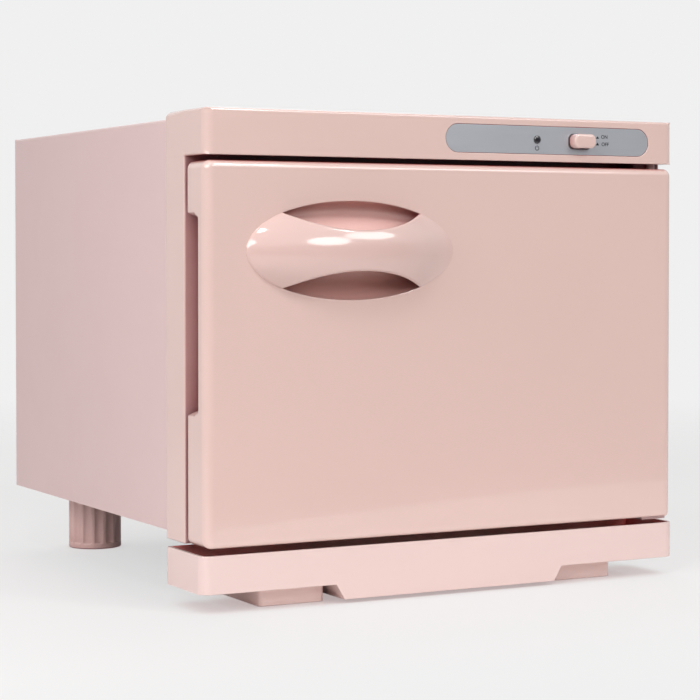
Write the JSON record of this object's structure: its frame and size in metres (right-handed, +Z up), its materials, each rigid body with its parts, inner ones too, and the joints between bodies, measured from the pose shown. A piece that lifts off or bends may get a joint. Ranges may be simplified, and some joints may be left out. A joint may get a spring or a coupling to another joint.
{
  "type": "hot towel cabinet",
  "caption": "Tabletop hot towel cabinet: insulated heated chamber behind a side-hinged door with a bar handle, slide switch, wire rack and pull-out drip tray.",
  "frame": {"origin": "on the floor under the middle of the cabinet's whole outline, handle and cord gland included", "axes": "+Z up, -Y towards the front of the door, +X to the right as seen from the front"},
  "size_m": [0.324, 0.3411, 0.283],
  "materials": {
    "case_paint": "satin pink powder coat",
    "shell_plastic": "polished pink moulding",
    "foot_plastic": "pink moulding, fine texture",
    "plate_metal": "satin silver plate",
    "lamp_red": "dark red lens, unlit",
    "steel": "zinc plated",
    "chamber_metal": "plain drawn sheet",
    "lagging": "pressed glass fibre",
    "heater_rubber": "silicone mat",
    "black_plastic": "black moulding",
    "terminal_plastic": "white moulding",
    "lead_sheath": "insulated leads",
    "rack_chrome": "chromed wire",
    "liner_plastic": "white sheet",
    "foam": "white foam",
    "seal_rubber": "soft grey seal",
    "nylon": "white nylon"
  },
  "bodies": {
    "cabinet": {"outer_case": "case_paint", "base_plate": "case_paint", "rear_panel": "case_paint", "panel_screws": "steel", "front_bezel": "shell_plastic", "control_plate": "plate_metal", "lamp_lens": "lamp_red", "lamp_holder": "black_plastic", "switch_body": "black_plastic", "hinge_bracket_upper": "steel", "hinge_bracket_lower": "steel", "hinge_screws": "steel", "catch_magnet": "black_plastic", "inner_chamber": "chamber_metal", "chamber_insulation": "lagging", "rack_ledges": "chamber_metal", "heater_mat": "heater_rubber", "heat_shield": "chamber_metal", "thermostat": "black_plastic", "thermal_fuse": "terminal_plastic", "terminal_block": "terminal_plastic", "wiring_leads": "lead_sheath", "cord_gland": "black_plastic", "front_foot_left": "foot_plastic", "front_foot_right": "foot_plastic", "rear_foot_left": "foot_plastic", "rear_foot_right": "foot_plastic", "foot_screws": "steel"},
    "door": {"door_shell": "shell_plastic", "handle_cup": "shell_plastic", "door_liner": "liner_plastic", "liner_screws": "steel", "door_insulation": "foam", "door_gasket": "seal_rubber", "strike_plate": "steel", "hinge_bush_upper": "nylon", "hinge_bush_lower": "nylon"},
    "tray": {"drip_tray": "shell_plastic"},
    "rack": {"wire_rack": "rack_chrome"},
    "switch": {"switch_knob": "shell_plastic"}
  },
  "joints": [
    {"name": "door_swing", "type": "hinge", "parent": "cabinet", "child": "door", "pos_m": [0.15, -0.14305, 0.145], "axis": [0, 0, 1], "range_deg": [0, 110]},
    {"name": "tray_slide", "type": "slide", "parent": "cabinet", "child": "tray", "axis": [0, -1, 0], "range_m": [0, 0.036]},
    {"name": "rack_slide", "type": "slide", "parent": "cabinet", "child": "rack", "axis": [0, -1, 0], "range_m": [0, 0.016]},
    {"name": "switch_slide", "type": "slide", "parent": "cabinet", "child": "switch", "axis": [0, 0, 1], "range_m": [0, 0.003]}
  ]
}
